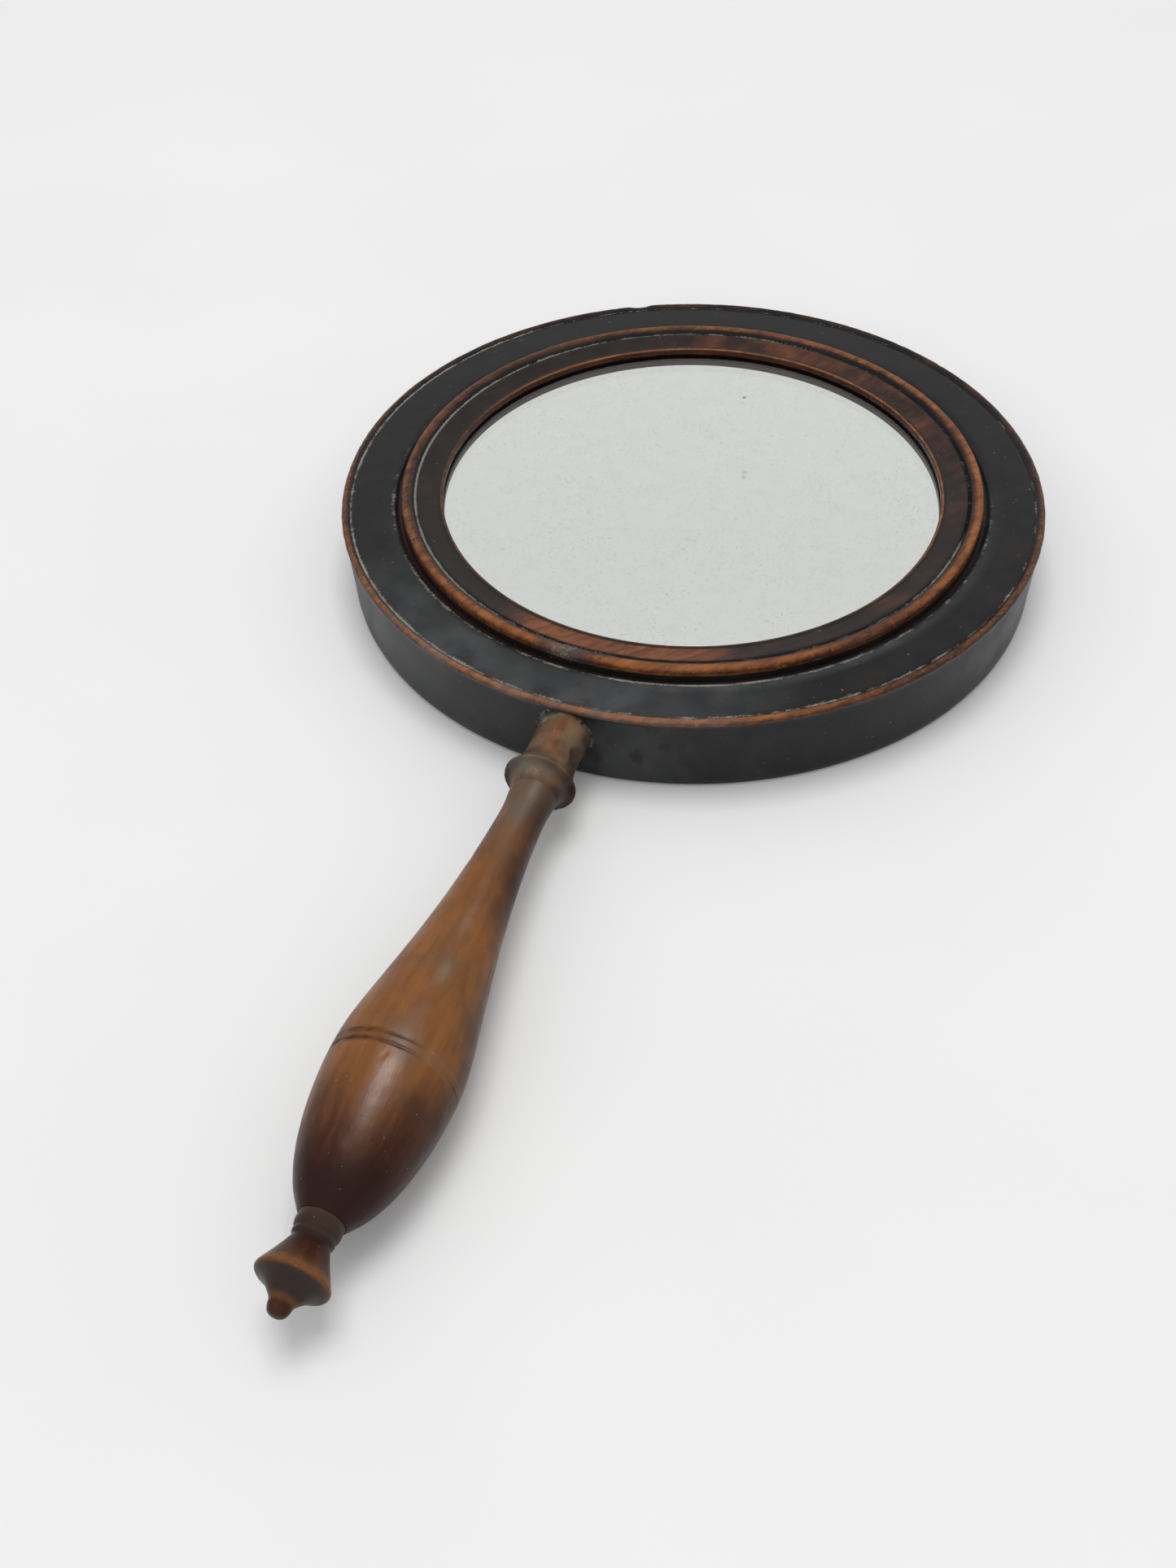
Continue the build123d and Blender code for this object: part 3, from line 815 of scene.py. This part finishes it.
def make_finial(material):
    """The beads, flared cone and nub at the end, blackened in the hollow of the cone."""
    t = Turning(smooth_rows(FINIAL_OUTLINE, even(0.15)), FINIAL_TURNS, handle=True)
    at = t.points()
    along, radius = t.along, t.radius
    fine, broad = noise(at, 1.2, 51), noise(at, 4.0, 52)
    rim = hump(along, RIM_AT - 0.5, 1.8)
    end = step(along, RIM_AT + 0.3, RIM_AT + 0.8) * step(radius, 2.2, 3.0)
    nub = step(along, RIM_AT + 3.7, RIM_AT + 4.7)
    beads = step(along, GRIP_END + 4.8, GRIP_END + 3.0)
    wear = 0.25 * rim * (0.9 + 0.3 * broad)
    rust = 0.35 * hump(along, RIM_AT - 3.3, 5)
    haze = 0.1 * end + 0.12 * beads
    dark = 1.35 * hump(along, RIM_AT - 5.5, 6.5) * (0.9 + 0.3 * broad) + 0.4 * end + 0.5 * beads + 0.7 * nub
    bare = 0.4 + 0.4 * rim * (1 - end) - 0.35 * end
    masks = {"wear": wear, "rust": rust, "dust": 0.1 * end, "haze": haze, "dark": dark, "bare": bare}
    sink = 0.02 * (1 + fine) + 0.06 * rim * step(fine, 0.2, 0.8)
    make_piece("finial_turned", t.points(sink), material, ["finial"], masks)


# ---------------------------------------------------------------- glass, silver and filler

GLASS_EDGE = 0.2
GLASS_OUTLINE = [
    (GLASS_TOP, CENTRE_R),
    (GLASS_TOP, GLASS_R - GLASS_EDGE, "sharp"),
    (GLASS_TOP - GLASS_EDGE, GLASS_R, "sharp"),
    (GLASS_FOOT + GLASS_EDGE, GLASS_R, "sharp"),
    (GLASS_FOOT, GLASS_R - GLASS_EDGE, "sharp"),
    (GLASS_FOOT, CENTRE_R),
]


def make_glass(material):
    """The flat glass, its edges just taken off."""
    t = Turning(smooth_rows(GLASS_OUTLINE, even(10.0)), GLASS_TURNS)
    make_piece("glass_disc", t.points(), material, ["mirror_glass"])


def make_silver(material):
    """A thin film just under the glass, its edge nibbled by age."""
    top, foot = silver_high[2] - 0.03, silver_low[2]
    rows = [(top, CENTRE_R), (top, 50.0), (top, SILVER_R), (foot, SILVER_R), (foot, CENTRE_R)]
    t = Turning(np.array(rows), SILVER_TURNS)
    nibble = 0.5 * np.maximum(noise(t.points(), 1.6, 61), 0) + 0.5 * np.maximum(noise(t.points(), 4.0, 62), 0)
    t.radius = t.radius - nibble * step(t.radius, 55, 59)
    make_piece("silver_film", t.points(), material, ["silvering"])


def make_filler(material):
    """A ragged fillet of glue where the neck enters the rim."""
    inner, start, end = 5.3, -filler_high[1], -filler_low[1]
    outer = (filler_high[0] - filler_low[0]) / 2
    rows = [(start, inner), (start, outer), (start + 0.5, outer - 0.05), (start + 0.8, outer - 0.35)]
    rows += [(start + 1.1, outer - 0.65), (end - 0.2, outer - 0.9), (end, inner)]
    t = Turning(smooth_rows(rows, even(0.15)), FILLER_TURNS, handle=True)
    lumps = noise(t.points(), 0.9, 71)
    thickest = round_hump(t.angle, 125, 35)
    sink = step(t.radius, inner, outer - 0.6) * (0.5 + 0.4 * lumps) * (1 - 0.9 * thickest)
    make_piece("filler_crust", t.points(sink), material, ["joint_filler"], closed=True)


# ---------------------------------------------------------------- the whole

head_wood = turned_wood("head_wood", GRAIN_ANGLE, 0.2, srgb(87, 92, 94))
ring_wood = turned_wood("ring_wood", GRAIN_ANGLE, 0.18, srgb(92, 94, 90))
handle_wood = turned_wood("handle_wood", 90, 0.12, srgb(103, 99, 88))
make_head(head_wood)
make_ring(ring_wood)
make_neck(handle_wood)
make_grip(handle_wood)
make_finial(handle_wood)
make_glass(glass_material())
SILVER_MARKS = [(1.9, 41.0, 0.6, 0.9), (10.3, 8.9, 0.8, 0.25), (10.0, 10.8, 1.0, 0.2)]
make_silver(silver_material(SILVER_MARKS))
make_filler(filler_material())

kept_nodes = {
    "backing_paint": paint_material(),
    "card_backing": card_material(),
    "felt_pad": felt_material(),
    "neck_dowel": beech_material(),
}
for node, material in kept_nodes.items():
    for slot in bpy.data.objects[node].material_slots:
        slot.material = material

# ---------------------------------------------------------------- camera, floor and light


def add_camera():
    """A camera in front of the handle and to its right, looking down at the mirror."""
    camera = bpy.data.objects.new("camera", bpy.data.cameras.new("camera"))
    camera.data.lens = 40.3
    camera.data.clip_start = 0.01
    place = Vector((0.0895, -0.3201, 0.2579))
    right = Vector((0.94724, 0.31956, -0.02499))
    ahead = Vector((-0.24136, 0.65978, -0.71164))
    facing = Matrix((right, right.cross(ahead).normalized(), -ahead)).transposed()
    camera.matrix_world = Matrix.Translation(place) @ facing.to_4x4()
    scene.collection.objects.link(camera)
    scene.camera = camera


def add_floor():
    """A plain white table top, a hair below the mirror's back."""
    mesh = bpy.data.meshes.new("floor")
    half, height = 4.0, -0.0001
    corners = [(x * half, y * half, height) for x, y in ((-1, -1), (1, -1), (1, 1), (-1, 1))]
    mesh.from_pydata(corners, [], [(0, 1, 2, 3)])
    s = Shader("white_table")
    cloud = s.noise(90.0, 3.0, 0.5)
    s.set(Base_Color=s.mix(s.rise(cloud, 0.3, 0.7), (0.64, 0.64, 0.64, 1), (0.655, 0.655, 0.653, 1)))
    s.set(Roughness=0.6, Specular_IOR_Level=0.1)
    mesh.materials.append(s.material)
    floor = bpy.data.objects.new("floor", mesh)
    scene.collection.objects.link(floor)


def add_world():
    """A pale room, a little dimmer towards the horizon and brighter on the near side."""
    world = bpy.data.worlds.new("pale_room")
    scene.world = world
    world.use_nodes = True
    nodes, links = world.node_tree.nodes, world.node_tree.links
    direction = nodes.new("ShaderNodeTexCoord").outputs["Generated"]
    split = nodes.new("ShaderNodeSeparateXYZ")
    links.new(direction, split.inputs[0])
    sky = nodes.new("ShaderNodeValToRGB")
    links.new(split.outputs["Z"], sky.inputs[0])
    stops = [(0.0, 0.62), (0.3, 0.66), (0.48, 0.76), (0.62, 0.71), (0.78, 0.72), (1.0, 0.85)]
    ramp = sky.color_ramp.elements
    while len(ramp) < len(stops):
        ramp.new(0.5)
    for element, (place, level) in zip(ramp, stops):
        element.position = place
        element.color = (level, level, level, 1)
    links.new(sky.outputs[0], nodes["Background"].inputs["Color"])
    near = nodes.new("ShaderNodeMapRange")
    for name, number in {"From Min": -1.0, "From Max": 0.1, "To Min": 1.25, "To Max": 1.0}.items():
        near.inputs[name].default_value = number
    links.new(split.outputs["Y"], near.inputs["Value"])
    links.new(near.outputs[0], nodes["Background"].inputs["Strength"])


def add_lamp(name, place, aim, size, power, gloss):
    """A soft rectangular lamp that lights only gloss, or only what isn't gloss."""
    data = bpy.data.lights.new(name, "AREA")
    data.shape = "RECTANGLE"
    data.size, data.size_y = size
    data.energy = power
    lamp = bpy.data.objects.new(name, data)
    lamp.location = place
    lamp.rotation_euler = (aim - place).to_track_quat("-Z", "Y").to_euler()
    lamp.visible_diffuse = not gloss
    lamp.visible_glossy = gloss
    lamp.visible_transmission = False
    scene.collection.objects.link(lamp)
    return lamp


def add_glint():
    """A highlight along the belly of the grip, which lights nothing else."""
    belly = Vector((AXIS_X, -BELLY_AT, AXIS_Z)) * MM
    place = belly + 1.2 * Vector((0.133, 0.325, 0.936))
    lamp = add_lamp("glint", place, belly, size=(0.3, 0.45), power=21.0, gloss=True)
    receivers = bpy.data.collections.new("glint_receivers")
    receivers.objects.link(bpy.data.objects["grip_turned"])
    lamp.light_linking.receiver_collection = receivers


add_camera()
add_floor()
add_world()
ORIGIN = Vector((0, 0, 0))
add_lamp("key", Vector((-0.07, 0.12, 2.2)), ORIGIN, size=(1.1, 1.1), power=26.0, gloss=False)
add_lamp("fill", Vector((0.1, -1.6, 0.9)), ORIGIN, size=(1.6, 0.8), power=5.4, gloss=False)
add_glint()
scene.view_settings.view_transform = "Standard"
